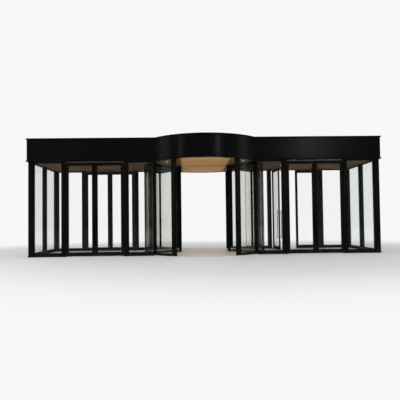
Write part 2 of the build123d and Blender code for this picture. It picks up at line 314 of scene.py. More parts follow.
def lampGlow(name, strength):
    material, kit = newFinish(name)
    spot = kit.noise(kit.place(), 60.0, 2.0)
    glow = kit.mix(spot, rgb(1.0, 0.86, 0.62), rgb(1.0, 0.92, 0.76))
    return show(material, kit, kit.principled(rgb(0.9, 0.88, 0.82), 0.4,
                                              {"Emission Color": glow, "Emission Strength": strength}))


alongX = (3.0, 500.0, 500.0)
alongZ = (500.0, 500.0, 3.0)
finish = {
    "black": powderCoat("satinBlack", coat["black"], coat["blackWarm"], 0.36, 0.5, 0.45),
    "fascia": powderCoat("fasciaBlack", coat["black"], coat["blackWarm"], 0.24, 0.1, 0.0, 0.35),
    "grey": powderCoat("satinGrey", coat["grey"], coat["greyWarm"], 0.42, 0.25, 0.3),
    "graphite": powderCoat("satinGraphite", coat["graphite"], coat["graphiteWarm"], 0.6, 0.25, 0.0,
                           shine=0.02),
    "glass": clearGlass("flatGlass", rgb(0.992, 0.994, 0.992), rgb(0.80, 0.82, 0.81), 0.008, 0.008,
                        0.5, rgb(0.60, 0.66, 0.62), 0.6),
    "curvedGlass": clearGlass("curvedGlass", rgb(0.965, 0.965, 0.950), rgb(0.60, 0.60, 0.56), 0.010,
                              0.012, 0.35, rgb(0.13, 0.145, 0.125), 0.85),
    # The drum ceiling's third colour is painted shade for its sides
    "ceiling": ceilingPaint("drumCeiling", rgb(0.80, 0.45, 0.165), rgb(0.86, 0.50, 0.195),
                            rgb(0.175, 0.122, 0.046)),
    # Painted shade: the vestibule ceilings carry the drum ceiling's cream paint, coloured dark brown as it
    # lies in shade
    "shadedVestibuleCeiling": ceilingPaint("shadedVestibuleCeiling", rgb(0.130, 0.072, 0.031),
                                     rgb(0.175, 0.102, 0.047)),
    "floor": honedStone("floorStone", rgb(0.60, 0.56, 0.515), rgb(0.66, 0.62, 0.57),
                        rgb(0.33, 0.31, 0.29), 0.6),
    "drumFloor": honedStone("drumStone", rgb(0.74, 0.67, 0.59), rgb(0.80, 0.73, 0.645),
                            rgb(0.42, 0.385, 0.34), 0.6),
    "roof": roofSheet("roofMembrane", 1.5, 0.1, -6.05),
    "aluminium": brushedMetal("satinAluminium", rgb(0.60, 0.60, 0.59), rgb(0.68, 0.68, 0.67), 0.38,
                              alongX),
    "steel": brushedMetal("plainSteel", rgb(0.36, 0.36, 0.37), rgb(0.44, 0.44, 0.44), 0.5, alongZ),
    "darkSteel": brushedMetal("darkSteel", rgb(0.075, 0.075, 0.08), rgb(0.11, 0.11, 0.11), 0.38,
                              alongZ),
    "rubber": softBlack("blackRubber", rgb(0.004, 0.004, 0.004), rgb(0.010, 0.010, 0.010), 300.0,
                        0.0003, 0.6),
    "brush": softBlack("brushSeal", rgb(0.004, 0.004, 0.004), rgb(0.030, 0.028, 0.026), 900.0,
                       0.0015, 0.85),
    "lamp": lampGlow("lampGlow", 1.2),
}
print("finishes:", len(finish))

# Finish of each CAD node, black where none is named
nodeFinish = {
    "drum_floor": "drumFloor",
    "vestibule_floors": "floor",
    "vestibule_ceilings": "shadedVestibuleCeiling",
    "rotor_ceiling": "ceiling",
    "rotor_plinths": "grey",
    "rotor_canopies": "graphite",
    "rotor_flat_glass": "glass",
    "rotor_curved_glass": "curvedGlass",
    "rotor_seals": "brush",
    "roof_deck": "roof",
    "drive_unit": "steel",
    "front_glazing": "glass",
    "rear_glazing": "glass",
    "side_glazing": "glass",
    "front_fascia": "fascia",
    "rear_fascia": "fascia",
    "side_fascia": "fascia",
    "front_drum_fascia": "fascia",
    "rear_drum_fascia": "fascia",
}


def lookOf(nodeName):
    return nodeFinish.get(nodeName, "glass" if "_pane" in nodeName else "black")


for nodeName, nodeObject in frame["nodes"].items():
    nodeObject.data.materials.clear()
    nodeObject.data.materials.append(finish[lookOf(nodeName)])
print("CAD nodes dressed")


def addBox(bm, low, high):
    middle = (Vector(low) + Vector(high)) / 2
    span = [max(abs(b - a), 1e-5) for a, b in zip(low, high)]
    matrix = Matrix.Translation(middle) @ Matrix.Diagonal((*span, 1.0))
    return bmesh.ops.create_cube(bm, size=1.0, matrix=matrix)["verts"]


def addRod(bm, middle, radius, length, axis="z", sides=20):
    turn = {"z": Matrix(), "x": Matrix.Rotation(math.pi / 2, 4, "Y"),
            "y": Matrix.Rotation(math.pi / 2, 4, "X")}[axis]
    return bmesh.ops.create_cone(bm, cap_ends=True, segments=sides, radius1=radius, radius2=radius,
                                 depth=length, matrix=Matrix.Translation(middle) @ turn)["verts"]


def addFrame(bm, low, high, depth, width):
    # A mitred picture frame standing in the X-Z plane: low and high are its corners (x, z)
    middle = ((low[0] + high[0]) / 2, depth[0], (low[1] + high[1]) / 2)
    matrix = (Matrix.Translation(middle) @ Matrix.Rotation(math.pi / 2, 4, "X")
              @ Matrix.Diagonal((high[0] - low[0], high[1] - low[1], 1.0, 1.0)))
    made = bmesh.ops.create_grid(bm, x_segments=1, y_segments=1, size=0.5, matrix=matrix)
    face = made["verts"][0].link_faces[0]
    ring = bmesh.ops.inset_region(bm, faces=[face], thickness=width, use_boundary=True,
                                  use_even_offset=True)["faces"]
    bmesh.ops.delete(bm, geom=[face], context="FACES")
    pushed = bmesh.ops.extrude_face_region(bm, geom=ring)["geom"]
    bmesh.ops.translate(bm, vec=(0.0, depth[1] - depth[0], 0.0),
                        verts=[g for g in pushed if isinstance(g, bmesh.types.BMVert)])


def addPrism(bm, outline, low, high):
    # A flat outline of a few corners (x, y), pushed up
    face = bm.faces.new([bm.verts.new((x, y, low)) for x, y in outline])
    pushed = bmesh.ops.extrude_face_region(bm, geom=[face])["geom"]
    bmesh.ops.translate(bm, vec=(0.0, 0.0, high - low),
                        verts=[g for g in pushed if isinstance(g, bmesh.types.BMVert)])


def addArc(bm, inner, outer, start, end, low, high, stepAngle=1.5):
    # A curved slab between two radii; angles in degrees from the street side towards +X
    first = math.radians(start - 90.0)
    corners = [(inner, low), (outer, low), (outer, high), (inner, high)]
    face = bm.faces.new([bm.verts.new((r * math.cos(first), r * math.sin(first), z)) for r, z in corners])
    bmesh.ops.spin(bm, geom=[face], angle=math.radians(end - start), axis=(0, 0, 1), cent=(0, 0, 0),
                   steps=max(2, round(abs(end - start) / stepAngle)), use_duplicate=False)


def bevelEdges(bm, width, segments=2, limit=30.0):
    sharp = [e for e in bm.edges if len(e.link_faces) == 2 and e.calc_face_angle(0.0) > math.radians(limit)]
    bmesh.ops.bevel(bm, geom=sharp, offset=width, affect="EDGES", segments=segments, profile=0.5,
                    material=-1, clamp_overlap=True)


def makePiece(name, bm, body, look, smooth=35.0, matrix=None):
    # Closes a bmesh into a finished piece that rides on one body
    bmesh.ops.recalc_face_normals(bm, faces=bm.faces)
    mesh = bpy.data.meshes.new(name)
    bm.to_mesh(mesh)
    bm.free()
    if matrix is not None:
        mesh.transform(matrix)
        if matrix.determinant() < 0:
            mesh.flip_normals()
    mesh.shade_smooth()
    mesh.set_sharp_from_angle(angle=math.radians(smooth))
    piece = bpy.data.objects.new(name, mesh)
    scene.collection.objects.link(piece)
    mesh.materials.append(finish[look])
    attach(piece, body)
    return piece


# Rounded edges: a merged copy stands for the node, its corners eased by so much
easing = {"merge": 2e-5, "flatAngle": 0.5, "leafWidth": 0.0025}
easedEdges = {
    "corner_posts": 0.004, "front_door_posts": 0.004, "rear_door_posts": 0.004, "side_posts": 0.004,
    "base_rails": 0.003, "door_head_strips": 0.002, "drum_opening_posts": 0.004, "drum_wall_posts": 0.003,
    "drum_base_rails": 0.003, "drum_head_ring": 0.002, "front_fascia": 0.004, "rear_fascia": 0.004,
    "side_fascia": 0.004, "front_drum_fascia": 0.004, "rear_drum_fascia": 0.004, "pivot_blocks": 0.002,
    "rotor_stiles": 0.003, "rotor_ceiling": 0.003,
    "sliding_leaf_left": 0.0025, "sliding_leaf_right": 0.0025, "drive_unit": 0.008, "drum_floor": 0.002,
}


def easeEdges():
    widths = dict(easedEdges)
    widths.update({name: easing["leafWidth"] for name in bodyOf if name.endswith("er_leaf")})
    for name, width in widths.items():
        bm = bmesh.new()
        bm.from_mesh(frame["nodes"][name].data)
        bmesh.ops.remove_doubles(bm, verts=bm.verts, dist=easing["merge"])
        bmesh.ops.dissolve_limit(bm, angle_limit=math.radians(easing["flatAngle"]), verts=bm.verts,
                                 edges=bm.edges)
        bevelEdges(bm, width)
        piece = makePiece(name + "_eased", bm, bodyOf[name], lookOf(name))
        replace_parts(piece, name)
    print("edges eased:", len(widths))


easeEdges()

# Curved panes of the drum, and the rubber channels that hold them
curvedPane = {"openingEnd": 31.018, "jointAngle": 52.80, "jointHalf": 1.486, "midHalf": 1.07,
              "rail": 0.09, "channelHigh": 0.016, "channelDeep": 0.012, "channelAngle": 0.3}


def paneSpans():
    p = curvedPane
    return [(p["openingEnd"], p["jointAngle"] - p["jointHalf"]),
            (p["jointAngle"] + p["jointHalf"], 90.0 - p["midHalf"]),
            (90.0 + p["midHalf"], 180.0 - p["openingEnd"])]


def makeDrumGlass():
    p = curvedPane
    inner = door["drumRadius"] - door["glassHalf"]
    outer = door["drumRadius"] + door["glassHalf"]
    top = door["clearHeight"]
    rubber = bmesh.new()
    for name, side in (("drum_glass_right", 1), ("drum_glass_left", -1)):
        bm = bmesh.new()
        for start, end in paneSpans():
            addArc(bm, inner, outer, side * start, side * end, p["rail"], top)
            for near, far in ((inner - p["channelDeep"], inner), (outer, outer + p["channelDeep"])):
                addArc(rubber, near, far, side * start, side * end, p["rail"], p["rail"] + p["channelHigh"])
                addArc(rubber, near, far, side * start, side * end, top - p["channelHigh"], top)
                for edge in (start, end - p["channelAngle"]):
                    addArc(rubber, near, far, side * edge, side * (edge + p["channelAngle"]),
                           p["rail"], top)
        piece = makePiece(name + "_smooth", bm, "frame", "curvedGlass", 40.0)
        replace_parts(piece, name)
    makePiece("drum_glass_channels", rubber, "frame", "rubber")
    print("drum glass made")


makeDrumGlass()

# Fascia cladding: plates between the lips, with open joints
cladding = {"proud": 0.003, "sunk": 0.001, "joint": 0.005, "edge": 0.004, "longPanels": 3, "endPanels": 2,
            "drumPanels": 3, "drumReach": 48.3, "drumStep": 1.2, "bevel": 0.001}


def makeCladding():
    c = cladding
    low = door["clearHeight"] + door["lipHeight"] + c["edge"]
    high = door["top"] - door["lipHeight"] - c["edge"]
    half = c["joint"] / 2
    for name, way in (("front", -1), ("rear", 1)):
        bm = bmesh.new()
        face = way * door["faceY"]
        start = door["seamX"] + c["edge"]
        width = (door["faceX"] - start) / c["longPanels"]
        for side in (-1, 1):
            for i in range(c["longPanels"]):
                addBox(bm, (side * (start + i * width + half), face, low),
                       (side * (start + (i + 1) * width - half), face + way * c["proud"], high))
        bevelEdges(bm, c["bevel"], 1)
        makePiece(name + "_cladding", bm, "frame", "fascia")
        bm = bmesh.new()
        turn = 2 * c["drumReach"] / c["drumPanels"]
        gap = math.degrees(half / door["fasciaRadius"])
        middle = 0.0 if way < 0 else 180.0
        for i in range(c["drumPanels"]):
            begin = middle - c["drumReach"] + i * turn
            addArc(bm, door["fasciaRadius"] - c["sunk"], door["fasciaRadius"] + c["proud"],
                   begin + gap, begin + turn - gap, low, high, c["drumStep"])
        bevelEdges(bm, c["bevel"], 1)
        makePiece(name + "_drum_cladding", bm, "frame", "fascia")
    bm = bmesh.new()
    width = 2 * door["faceY"] / c["endPanels"]
    for side in (-1, 1):
        for i in range(c["endPanels"]):
            begin = -door["faceY"] + i * width
            addBox(bm, (side * door["faceX"], begin + half, low),
                   (side * (door["faceX"] + c["proud"]), begin + width - half, high))
    bevelEdges(bm, c["bevel"], 1)
    makePiece("side_cladding", bm, "frame", "fascia")
    print("fascia clad")


makeCladding()

# Glazing beads along the edges of the fixed panes, on both faces
fixedBead = {"width": 0.014, "proud": 0.010, "low": 0.13, "high": 3.515, "drumEndFront": 1.959,
             "drumEndRear": 1.905, "corner": 6.41, "endNear": 0.075, "endFar": 1.41, "bevel": 0.003}


def makeFixedBeads():
    b = fixedBead
    for name, way in (("front", -1), ("rear", 1)):
        bm = bmesh.new()
        drumEnd = b["drumEndFront"] if way < 0 else b["drumEndRear"]
        for side in (-1, 1):
            for near, far in ((drumEnd, door["innerPost"][0]), (door["outerPost"][1], b["corner"])):
                ends = sorted((side * near, side * far))
                for face in (-1, 1):
                    start = way * door["wallMiddle"] + face * door["glassHalf"]
                    addFrame(bm, (ends[0], b["low"]), (ends[1], b["high"]),
                             (start, start + face * b["proud"]), b["width"])
        bevelEdges(bm, b["bevel"], 1)
        makePiece(name + "_beads", bm, "frame", "rubber")
    bm = bmesh.new()
    quarter = Matrix.Rotation(math.pi / 2, 4, "Z")
    for side in (-1, 1):
        for way in (-1, 1):
            ends = sorted((way * b["endNear"], way * b["endFar"]))
            for face in (-1, 1):
                start = -(side * door["endMiddle"] + face * door["glassHalf"])
                addFrame(bm, (ends[0], b["low"]), (ends[1], b["high"]), (start, start - face * b["proud"]),
                         b["width"])
    bevelEdges(bm, b["bevel"], 1)
    makePiece("side_beads", bm, "frame", "rubber", matrix=quarter)
    print("fixed beads made")


makeFixedBeads()

# Posts: snap-on covers on the outer faces and shoes at the ground
postTrim = {"proud": 0.003, "inset": 0.02, "shoeHigh": 0.07, "shoeProud": 0.004, "shoeBack": 0.02,
            "sunk": 0.001, "bevel": 0.001, "coverLow": 0.07, "cornerPost": (6.41, 6.6), "faceY": 1.6,
            "sideHalf": 0.075}


def makePostTrim():
    p = postTrim
    covers = bmesh.new()
    shoes = bmesh.new()
    top = door["clearHeight"] - p["sunk"]
    cornerNear, cornerFar = p["cornerPost"]
    face = p["faceY"]
    back = cornerNear - cornerFar + face
    for side in (-1, 1):
        for way in (-1, 1):
            for near, far in (door["outerPost"], door["innerPost"], p["cornerPost"]):
                addBox(covers, (side * (near + p["inset"]), way * face, p["coverLow"]),
                       (side * (far - p["inset"]), way * (face + p["proud"]), top))
            for near, far in (door["outerPost"], door["innerPost"]):
                addBox(shoes, (side * (near + p["sunk"]), way * (face - p["shoeBack"]), 0.0),
                       (side * (far - p["sunk"]), way * (face + p["shoeProud"]), p["shoeHigh"]))
            addBox(shoes, (side * (cornerNear + p["sunk"]), way * (back + p["sunk"]), 0.0),
                   (side * (cornerFar + p["shoeProud"]), way * (face + p["shoeProud"]), p["shoeHigh"]))
            addBox(covers, (side * cornerFar, way * (back + p["inset"]), p["coverLow"]),
                   (side * (cornerFar + p["proud"]), way * (face - p["inset"]), top))
        half = p["sideHalf"]
        addBox(covers, (side * cornerFar, p["inset"] - half, p["coverLow"]),
               (side * (cornerFar + p["proud"]), half - p["inset"], top))
        addBox(shoes, (side * (cornerFar - p["shoeBack"]), p["sunk"] - half, 0.0),
               (side * (cornerFar + p["shoeProud"]), half - p["sunk"], p["shoeHigh"]))
    for bm, name in ((covers, "post_covers"), (shoes, "post_shoes")):
        bevelEdges(bm, p["bevel"], 2)
        makePiece(name, bm, "frame", "black")
    print("posts trimmed")


makePostTrim()

# Swing leaves: trim is made with the heel at the origin, the toe along +X and the front face at y = 0.
# Round fittings are given as (radius, length).
leaf = {"width": 1.064, "thick": 0.05, "stile": 0.088, "low": 0.025, "high": 3.51, "bottomRail": 0.13,
        "topRail": 0.11, "heelGap": 0.006, "pivotBack": 0.022, "openAngle": 86.0, "frontFace": -1.6,
        "rearFace": 1.45, "beadWidth": 0.012, "beadInset": 0.001, "beadBevel": 0.002, "glassBack": 0.017,
        "toeRubber": 0.003, "toeSpan": (0.012, 0.038), "toeEnd": 0.01, "brushLow": 0.019,
        "brushSpan": (0.017, 0.033), "brushEnd": 0.02, "sunk": 0.001, "sealBevel": 0.001,
        "lockIn": 0.17, "lockHigh": 0.09, "lockPlate": (0.017, 0.004), "lockBarrel": (0.009, 0.003),
        "barrelOut": 0.005, "pullIn": 0.044, "pullFeet": (0.6, 1.6), "pullFoot": (0.019, 0.005),
        "pivot": (0.0166, 0.0318), "pivotIn": 0.016, "fittingBevel": 0.0008}


def leafPlaces():
    # Each leaf's name, and the matrix that sets its trim in the doorway
    for wall, face in (("front", leaf["frontFace"]), ("rear", leaf["rearFace"])):
        for sideName, side in (("left", -1), ("right", 1)):
            for place, way in (("outer", -1), ("inner", 1)):
                name = f"{wall}_{sideName}_{place}"
                post = side * (door["innerPost"][1] if way > 0 else door["outerPost"][0])
                into = side * way
                axis = Vector((post + into * leaf["heelGap"] / 2, face - leaf["pivotBack"], 0.0))
                rest = leaf["openAngle"] if name == "rear_right_inner" else 0.0
                turn = (Matrix.Translation(axis) @ Matrix.Rotation(math.radians(-into * rest), 4, "Z")
                        @ Matrix.Translation(-axis))
                heel = Matrix.Translation((post + into * leaf["heelGap"], face, 0.0))
                yield name, turn @ heel @ Matrix.Diagonal((into, 1.0, 1.0, 1.0))


def makeLeafTrim():
    f = leaf
    count = 0
    holeLow = (f["stile"], f["low"] + f["bottomRail"])
    holeHigh = (f["width"] - f["stile"], f["high"] - f["topRail"])
    for name, matrix in leafPlaces():
        bm = bmesh.new()
        for depth in ((f["beadInset"], f["glassBack"]),
                      (f["thick"] - f["beadInset"], f["thick"] - f["glassBack"])):
            addFrame(bm, holeLow, holeHigh, depth, f["beadWidth"])
        bevelEdges(bm, f["beadBevel"], 1)
        makePiece(name + "_beads", bm, name, "rubber", matrix=matrix)
        bm = bmesh.new()
        addBox(bm, (f["width"], f["toeSpan"][0], f["low"] + f["toeEnd"]),
               (f["width"] + f["toeRubber"], f["toeSpan"][1], f["high"] - f["toeEnd"]))
        addBox(bm, (f["brushEnd"], f["brushSpan"][0], f["brushLow"]),
               (f["width"] - f["brushEnd"], f["brushSpan"][1], f["low"] + f["sunk"]))
        bevelEdges(bm, f["sealBevel"], 1)
        makePiece(name + "_seals", bm, name, "brush", matrix=matrix)
        bm = bmesh.new()
        for front, out in ((0.0, -1), (f["thick"], 1)):
            lockX = f["width"] - f["lockIn"]
            addRod(bm, (lockX, front + out * f["lockPlate"][1] / 2, f["lockHigh"]), *f["lockPlate"], "y")
            addRod(bm, (lockX, front + out * f["barrelOut"], f["lockHigh"]), *f["lockBarrel"], "y", 16)
            for z in f["pullFeet"]:
                addRod(bm, (f["width"] - f["pullIn"], front + out * f["pullFoot"][1] / 2, z),
                       *f["pullFoot"], "y")
        for z in (f["low"] + f["pivotIn"], f["high"] - f["pivotIn"]):
            addRod(bm, (-f["heelGap"] / 2, -f["pivotBack"], z), *f["pivot"], "z", 28)
        bevelEdges(bm, f["fittingBevel"], 1)
        makePiece(name + "_fittings", bm, name, "darkSteel", matrix=matrix)
        count += 1
    print("leaves trimmed:", count)


makeLeafTrim()

# Door heads and thresholds of the four double doors, and the ribbed sills of the drum's openings
doorway = {"near": 3.06, "far": 5.21, "front": 1.6, "back": 1.45, "lineLow": 3.527, "lineHigh": 3.531,
           "lineProud": 0.0015, "lineEnd": 0.004, "plate": 0.0012, "plateEnd": 0.003, "plateSide": 0.004,
           "rib": 0.0008, "ribs": 6, "ribHalf": 0.004, "ribSunk": 0.0002}
drumSill = {"inner": 2.375, "outer": 2.452, "reach": 26.5, "high": 0.0015, "ribReach": 26.4,
            "ribRadii": (2.388, 2.40, 2.412, 2.424, 2.436), "ribWide": 0.004, "ribLow": 0.0013,
            "ribHigh": 0.0025, "step": 1.0}


def makeDoorways():
    d = doorway
    lines = bmesh.new()
    plates = bmesh.new()
    ribStep = (d["front"] - d["back"]) / (d["ribs"] + 1)
    for side in (-1, 1):
        for way, y in ((-1, -d["front"]), (1, d["back"])):
            addBox(lines, (side * (d["near"] + d["lineEnd"]), y, d["lineLow"]),
                   (side * (d["far"] - d["lineEnd"]), y - d["lineProud"], d["lineHigh"]))
            near = side * (d["near"] + d["plateEnd"])
            far = side * (d["far"] - d["plateEnd"])
            top = door["floor"] + d["plate"]
            addBox(plates, (near, way * (d["back"] + d["plateSide"]), door["floor"]),
                   (far, way * (d["front"] - d["plateSide"]), top))
            for i in range(d["ribs"]):
                rib = d["back"] + (i + 1) * ribStep
                addBox(plates, (near, way * (rib - d["ribHalf"]), top - d["ribSunk"]),
                       (far, way * (rib + d["ribHalf"]), top + d["rib"]))
    makePiece("door_head_lines", lines, "frame", "aluminium")
    makePiece("door_thresholds", plates, "frame", "steel")
    s = drumSill
    bm = bmesh.new()
    for middle in (0.0, 180.0):
        addArc(bm, s["inner"], s["outer"], middle - s["reach"], middle + s["reach"],
               door["floor"], door["floor"] + s["high"], s["step"])
        for radius in s["ribRadii"]:
            addArc(bm, radius, radius + s["ribWide"], middle - s["ribReach"], middle + s["ribReach"],
                   door["floor"] + s["ribLow"], door["floor"] + s["ribHigh"], s["step"])
    makePiece("drum_thresholds", bm, "frame", "steel", 40.0)
    print("doorways finished")


makeDoorways()

# The wings: curved panes, plinths, canopies, beads along the glass and edging. The right wing is made
# square to the facade, copied to the left, and both are turned to their rest angle.
wing = {"rest": -5.0, "radius": 2.3, "inner": 1.06, "bend": 1.16, "noseHalf": 0.12, "flare": 51.0,
        "slotHalf": 0.032, "slotEnd": 2.15, "bottom": 0.025, "sill": 0.165, "head": 3.40, "top": 3.565,
        "gapLow": 3.505, "gapDeep": 0.03, "glassNear": 0.012, "glassFar": 0.028, "curveStart": 1.256,
        "curveEnd": 27.79, "beadHigh": 0.014, "beadDeep": 0.008, "edgeHigh": 0.034, "edgeProud": 0.002,
        "edgeDeep": 0.010, "edgeOver": 0.002, "footHigh": 0.010, "footDeep": 0.004, "canopyEdgeHigh": 0.010,
        "canopyEdgeDeep": 0.006, "buried": 0.001, "bevel": 0.003, "arcSteps": 40}


def wingCorner(inset):
    # Where the outline at an inset bends outwards, and where it meets the curved side
    slope = math.tan(math.radians(wing["flare"]))
    radius = wing["radius"] - inset
    bendX = wing["bend"] + inset * math.tan(math.radians(wing["flare"] / 2))
    start = wing["noseHalf"] - inset - slope * bendX
    x = (math.sqrt(radius ** 2 * (1 + slope ** 2) - start ** 2) - start * slope) / (1 + slope ** 2)
    return bendX, x, start + slope * x


def wingPath(inset, near=None):
    # The wing's outline at an inset: from the slot at x = near, out round the curved side and back
    bendX, cornerX, cornerY = wingCorner(inset)
    slope = math.tan(math.radians(wing["flare"]))
    noseY = wing["noseHalf"] - inset
    if near is None:
        upper = [(bendX, noseY)]
    elif near < bendX:
        upper = [(near, wing["slotHalf"]), (near, noseY), (bendX, noseY)]
    else:
        upper = [(near, wing["slotHalf"]), (near, noseY + slope * (near - bendX))]
    lean = math.atan2(cornerY, cornerX)
    radius = wing["radius"] - inset
    turns = [lean * (1 - 2 * i / wing["arcSteps"]) for i in range(wing["arcSteps"] + 1)]
    arc = [(radius * math.cos(turn), radius * math.sin(turn)) for turn in turns]
    return upper + arc + [(x, -y) for x, y in reversed(upper)]


def addWingBand(bm, outer, inner, low, high, nose=True):
    # A band that follows the wing's outline between two insets
    outside = wingPath(outer, wing["inner"] + outer if nose else None)
    inside = wingPath(inner, wing["inner"] + inner if nose else None)
    addPrism(bm, outside + inside[::-1], low, high)


def addWingBlock(bm, inset, near, low, high):
    # The whole wing at an inset, with the leaf's slot cut in from the nose
    slot = [(wing["slotEnd"], -wing["slotHalf"]), (wing["slotEnd"], wing["slotHalf"])]
    addPrism(bm, wingPath(inset, near) + slot, low, high)


def bothWings(bm):
    # The second wing is the first one turned half round
    copied = bmesh.ops.duplicate(bm, geom=bm.verts[:] + bm.edges[:] + bm.faces[:])["geom"]
    bmesh.ops.rotate(bm, cent=(0, 0, 0), matrix=Matrix.Rotation(math.pi, 3, "Z"),
                     verts=[g for g in copied if isinstance(g, bmesh.types.BMVert)])
    rest = Matrix.Rotation(math.radians(wing["rest"]), 3, "Z")
    bmesh.ops.rotate(bm, cent=(0, 0, 0), matrix=rest, verts=bm.verts)


def makeWings():
    w = wing
    bm = bmesh.new()
    for way in (-1, 1):
        addArc(bm, w["radius"] - w["glassFar"], w["radius"] - w["glassNear"], 90.0 + way * w["curveStart"],
               90.0 + way * w["curveEnd"], w["sill"], w["head"])
    bothWings(bm)
    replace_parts(makePiece("wing_curved_glass", bm, "rotor", "curvedGlass", 40.0),
                "rotor_curved_glass")
    bm = bmesh.new()
    for low, high in ((w["sill"], w["sill"] + w["beadHigh"]), (w["head"] - w["beadHigh"], w["head"])):
        addWingBand(bm, w["glassNear"] - w["beadDeep"], w["glassNear"], low, high, nose=False)
        addWingBand(bm, w["glassFar"], w["glassFar"] + w["beadDeep"], low, high, nose=False)
    bothWings(bm)
    makePiece("wing_beads", bm, "rotor", "rubber")
    bm = bmesh.new()
    addWingBlock(bm, 0.0, w["inner"], w["bottom"], w["sill"])
    bevelEdges(bm, w["bevel"])
    bothWings(bm)
    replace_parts(makePiece("wing_plinths", bm, "rotor", "grey"), "rotor_plinths")
    bm = bmesh.new()
    addWingBlock(bm, 0.0, w["inner"], w["head"], w["gapLow"])
    addWingBlock(bm, w["gapDeep"], w["bend"] + w["gapDeep"], w["gapLow"] - w["buried"], w["top"])
    for way in (-1, 1):
        addBox(bm, (w["inner"], way * w["slotHalf"], w["gapLow"] - w["buried"]),
               (w["bend"], way * w["noseHalf"], w["top"]))
    bevelEdges(bm, w["bevel"])
    bothWings(bm)
    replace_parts(makePiece("wing_canopies", bm, "rotor", "graphite"),
                "rotor_canopies")
    bm = bmesh.new()
    addWingBand(bm, -w["edgeProud"], w["edgeDeep"], w["sill"] - w["edgeHigh"], w["sill"] + w["edgeOver"])
    addWingBand(bm, -w["edgeProud"], w["footDeep"], w["bottom"], w["bottom"] + w["footHigh"])
    bothWings(bm)
    makePiece("plinth_edging", bm, "rotor", "aluminium")
    bm = bmesh.new()
    addWingBand(bm, -w["edgeProud"], w["canopyEdgeDeep"], w["head"] - w["edgeOver"],
                w["head"] + w["canopyEdgeHigh"])
    bothWings(bm)
    makePiece("canopy_edging", bm, "rotor", "darkSteel")
    print("wings finished")


makeWings()

# Sliding leaves between the wings: beads and a soft nose on the leading edge
slider = {"near": 0.95, "far": 2.135, "half": 0.022, "stile": 0.1, "sill": 0.165, "head": 3.40,
          "bead": 0.012, "beadInset": 0.001, "beadBevel": 0.0015, "glass": 0.008, "low": 0.03,
          "high": 3.55, "nose": 0.003, "noseHalf": 0.012, "noseSunk": 0.001, "noseBevel": 0.001}


def makeSliders():
    s = slider
    rest = Matrix.Rotation(math.radians(wing["rest"]), 4, "Z")
    for name, side in (("left", -1), ("right", 1)):
        ends = sorted((side * (s["near"] + s["stile"]), side * (s["far"] - s["stile"])))
        bm = bmesh.new()
        for face in (-1, 1):
            addFrame(bm, (ends[0], s["sill"]), (ends[1], s["head"]),
                     (face * s["glass"], face * (s["half"] - s["beadInset"])), s["bead"])
        bevelEdges(bm, s["beadBevel"], 1)
        makePiece(f"sliding_{name}_beads", bm, f"sliding_{name}", "rubber", matrix=rest)
        bm = bmesh.new()
        addBox(bm, (side * (s["near"] - s["nose"]), -s["noseHalf"], s["low"]),
               (side * (s["near"] + s["noseSunk"]), s["noseHalf"], s["high"]))
        bevelEdges(bm, s["noseBevel"], 2)
        makePiece(f"sliding_{name}_nose", bm, f"sliding_{name}", "rubber", matrix=rest)
    print("sliding leaves finished")


makeSliders()

# Ceiling lights: a trim ring and a lit lens, sunk in the ceiling
downlight = {"radius": 0.055, "lens": 0.040, "drop": 0.004, "sunk": 0.001, "lensThick": 0.002,
             "lensOut": 0.0005, "ringBevel": 0.0015, "lensBevel": 0.0005,
             "drum": [(-1.45, -1.25), (1.45, -1.5), (-1.45, 1.5), (1.45, 1.25)],
             "vestibule": [(3.2, 0.0), (4.5, 0.0), (5.8, 0.0)]}


def makeDownlights():
    d = downlight
    for name, body, height, spots in (
            ("drum", "rotor", door["rotorCeiling"], d["drum"]),
            ("vestibule", "frame", door["clearHeight"],
             [(side * x, y) for side in (-1, 1) for x, y in d["vestibule"]])):
        rings = bmesh.new()
        lenses = bmesh.new()
        for x, y in spots:
            addRod(rings, (x, y, height - d["drop"] / 2 + d["sunk"] / 2), d["radius"],
                   d["drop"] + d["sunk"], sides=32)
            addRod(lenses, (x, y, height - d["drop"] - d["lensOut"]), d["lens"], d["lensThick"], sides=32)
        bevelEdges(rings, d["ringBevel"], 2)
        bevelEdges(lenses, d["lensBevel"], 1)
        makePiece(name + "_light_rings", rings, body, "darkSteel")
        makePiece(name + "_light_lenses", lenses, body, "lamp")
    print("lights set")


makeDownlights()

# Joints of the ceiling boards over the vestibules
ceilingJoint = {"step": 1.2, "start": 2.6, "end": 6.5, "half": 0.003, "drop": 0.001, "sunk": 0.001,
                "reach": 1.44}


def makeCeilingJoints():
    j = ceilingJoint
    bm = bmesh.new()
    low = door["clearHeight"] - j["drop"]
    for side in (-1, 1):
        x = j["start"]
        while x < j["end"]:
            addBox(bm, (side * x - j["half"], -j["reach"], low),
                   (side * x + j["half"], j["reach"], door["clearHeight"] + j["sunk"]))
            x += j["step"]
    makePiece("ceiling_joints", bm, "frame", "black")
    print("ceiling joints set")


makeCeilingJoints()

# Roof: lapped sheets, an upstand strip along the fascia, a hatch over the drive and four outlets
roof = {"reachX": 6.58, "reachY": 1.58, "bulge": 2.4095, "bulgeTurn": 49.0, "bulgeX": 1.83,
        "lapStart": -6.0, "lapStep": 1.5, "lapHalf": 0.05, "lapHigh": 0.003, "lapRadius": 2.4,
        "lapBulgeX": 1.82, "hatchClear": 0.6, "bevel": 0.001, "upstandHigh": 0.07, "upstandThick": 0.004}
hatch = {"half": 0.42, "high": 0.05, "lidHalf": 0.46, "lidHigh": 0.03, "lidLap": 0.01, "bevel": 0.006,
         "hingeX": 0.25, "hingeHigh": 0.012, "hingeRadius": 0.009, "hingeLong": 0.12}
outlet = {"places": [(-4.6, 0.0), (-2.9, 0.9), (4.6, 0.0), (2.9, 0.9)], "radius": 0.11, "high": 0.006,
          "dome": 0.07, "domeSquash": 0.6, "domeRise": 0.004}


